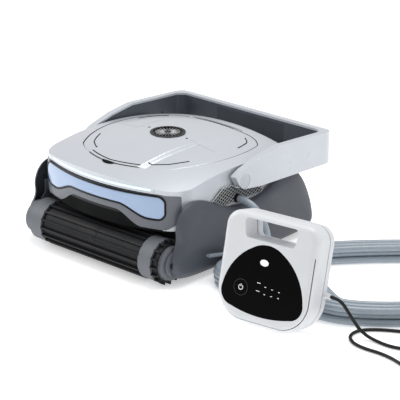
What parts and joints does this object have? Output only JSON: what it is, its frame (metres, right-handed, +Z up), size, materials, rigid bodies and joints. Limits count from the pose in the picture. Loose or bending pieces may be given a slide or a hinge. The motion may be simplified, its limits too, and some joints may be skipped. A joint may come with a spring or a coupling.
{
  "type": "pool cleaner",
  "caption": "Robotic pool cleaner: shelled body on finned rollers, folding carry handle, hinged lid over a filter basket, coiled floating cable and power supply.",
  "frame": {"origin": "centre of the cleaner's own box, on the floor the rollers stand on", "axes": "+X to the side the cable leaves, +Y towards the carry handle at the back, +Z up"},
  "size_m": [1.0481, 0.5402, 0.2088],
  "materials": {
    "slate_plastic": "fine moulded",
    "black_plastic": "moulded",
    "pale_plastic": "satin metallic paint",
    "steel": "plain",
    "belt_rubber": "moulded",
    "core_plastic": "moulded",
    "brush_rubber": "moulded",
    "motor_metal": "turned",
    "drive_plastic": "moulded",
    "window_blue": "translucent gloss",
    "light_white": "diffuser",
    "grille_metal": "silver paint",
    "gland_rubber": "moulded",
    "silver": "metallised",
    "white_grille": "satin",
    "basket_plastic": "moulded",
    "mesh_fabric": "fine woven",
    "white_gloss": "satin gloss",
    "black_glass": "high gloss",
    "cable_blue": "extruded jacket",
    "tie_black": "woven strap",
    "lead_black": "extruded jacket",
    "brass": "plated"
  },
  "bodies": {
    "chassis": {"chassis_tray": "slate_plastic", "side_cover_left": "slate_plastic", "side_cover_right": "slate_plastic", "front_bezel": "slate_plastic", "rear_bezel": "slate_plastic", "side_frame_left": "black_plastic", "side_frame_right": "black_plastic", "supply_board": "black_plastic", "pump_pod": "black_plastic", "supply_feet": "black_plastic", "upper_shell": "pale_plastic", "roller_axles": "steel", "frame_screws": "steel", "lid_hinge_pin": "steel", "drive_belts": "belt_rubber", "supply_gasket": "belt_rubber", "drive_motors": "motor_metal", "pump_motor": "motor_metal", "front_window": "window_blue", "light_bar": "light_white", "side_grilles": "grille_metal", "cable_gland": "gland_rubber", "cable_connector": "gland_rubber", "supply_socket": "gland_rubber", "handle_pivots": "silver", "filter_basket": "basket_plastic", "filter_mesh": "mesh_fabric", "supply_front_case": "white_gloss", "supply_back_case": "white_gloss", "lead_nipple": "white_gloss", "supply_glass": "black_glass", "float_cable": "cable_blue", "float_coil": "cable_blue", "coil_tie": "tie_black", "mains_tie": "tie_black", "mains_lead": "lead_black", "mains_coil": "lead_black", "mains_plug": "lead_black", "plug_pins": "brass"},
    "front_left_roller": {"front_left_roller_core": "core_plastic", "front_left_roller_brush": "brush_rubber"},
    "front_right_roller": {"front_right_roller_core": "core_plastic", "front_right_roller_brush": "brush_rubber"},
    "rear_left_roller": {"rear_left_roller_core": "core_plastic", "rear_left_roller_brush": "brush_rubber"},
    "rear_right_roller": {"rear_right_roller_core": "core_plastic", "rear_right_roller_brush": "brush_rubber"},
    "sprocket_left": {"drive_sprocket_left": "drive_plastic"},
    "sprocket_right": {"drive_sprocket_right": "drive_plastic"},
    "pump_impeller": {"impeller": "drive_plastic"},
    "lid": {"lid_panel": "pale_plastic", "outlet_ring": "silver", "lid_seal": "belt_rubber", "outlet_grille": "white_grille"},
    "latch": {"lid_latch": "black_plastic"},
    "handle": {"handle_shell": "pale_plastic", "handle_liner": "slate_plastic", "handle_grip": "gland_rubber", "handle_screws": "steel"},
    "flap": {"inlet_flap": "black_plastic"}
  },
  "joints": [
    {"name": "front_left_spin", "type": "hinge", "parent": "chassis", "child": "front_left_roller", "pos_m": [-0.1, -0.1975, 0.042], "axis": [1, 0, 0], "continuous": true},
    {"name": "front_right_spin", "type": "hinge", "parent": "chassis", "child": "front_right_roller", "pos_m": [0.1, -0.1975, 0.042], "axis": [1, 0, 0], "continuous": true},
    {"name": "rear_left_spin", "type": "hinge", "parent": "chassis", "child": "rear_left_roller", "pos_m": [-0.1, 0.1525, 0.042], "axis": [1, 0, 0], "continuous": true},
    {"name": "rear_right_spin", "type": "hinge", "parent": "chassis", "child": "rear_right_roller", "pos_m": [0.1, 0.1525, 0.042], "axis": [1, 0, 0], "continuous": true},
    {"name": "sprocket_left_spin", "type": "hinge", "parent": "chassis", "child": "sprocket_left", "pos_m": [-0.187, -0.0225, 0.085], "axis": [1, 0, 0], "continuous": true},
    {"name": "sprocket_right_spin", "type": "hinge", "parent": "chassis", "child": "sprocket_right", "pos_m": [0.187, -0.0225, 0.085], "axis": [1, 0, 0], "continuous": true},
    {"name": "impeller_spin", "type": "hinge", "parent": "chassis", "child": "pump_impeller", "pos_m": [0, -0.0225, 0.16], "axis": [0, 0, 1], "continuous": true},
    {"name": "handle_fold", "type": "hinge", "parent": "chassis", "child": "handle", "pos_m": [0, -0.0275, 0.159], "axis": [1, 0, 0], "range_deg": [0, 100]},
    {"name": "lid_open", "type": "hinge", "parent": "chassis", "child": "lid", "pos_m": [0, 0.112, 0.1915], "axis": [-1, 0, 0], "range_deg": [0, 80]},
    {"name": "latch_press", "type": "slide", "parent": "lid", "child": "latch", "axis": [0, 1, 0], "range_m": [0, 0.004], "stiffness_N_per_m": 300, "springref_m": -0.002},
    {"name": "flap_open", "type": "hinge", "parent": "chassis", "child": "flap", "pos_m": [0, -0.088, 0.067], "axis": [-1, 0, 0], "range_deg": [0, 70]}
  ],
  "couplings": [
    {"joint": "rear_left_spin", "follows": "front_left_spin", "ratio": 1},
    {"joint": "sprocket_left_spin", "follows": "front_left_spin", "ratio": 1.5},
    {"joint": "rear_right_spin", "follows": "front_right_spin", "ratio": 1},
    {"joint": "sprocket_right_spin", "follows": "front_right_spin", "ratio": 1.5}
  ]
}
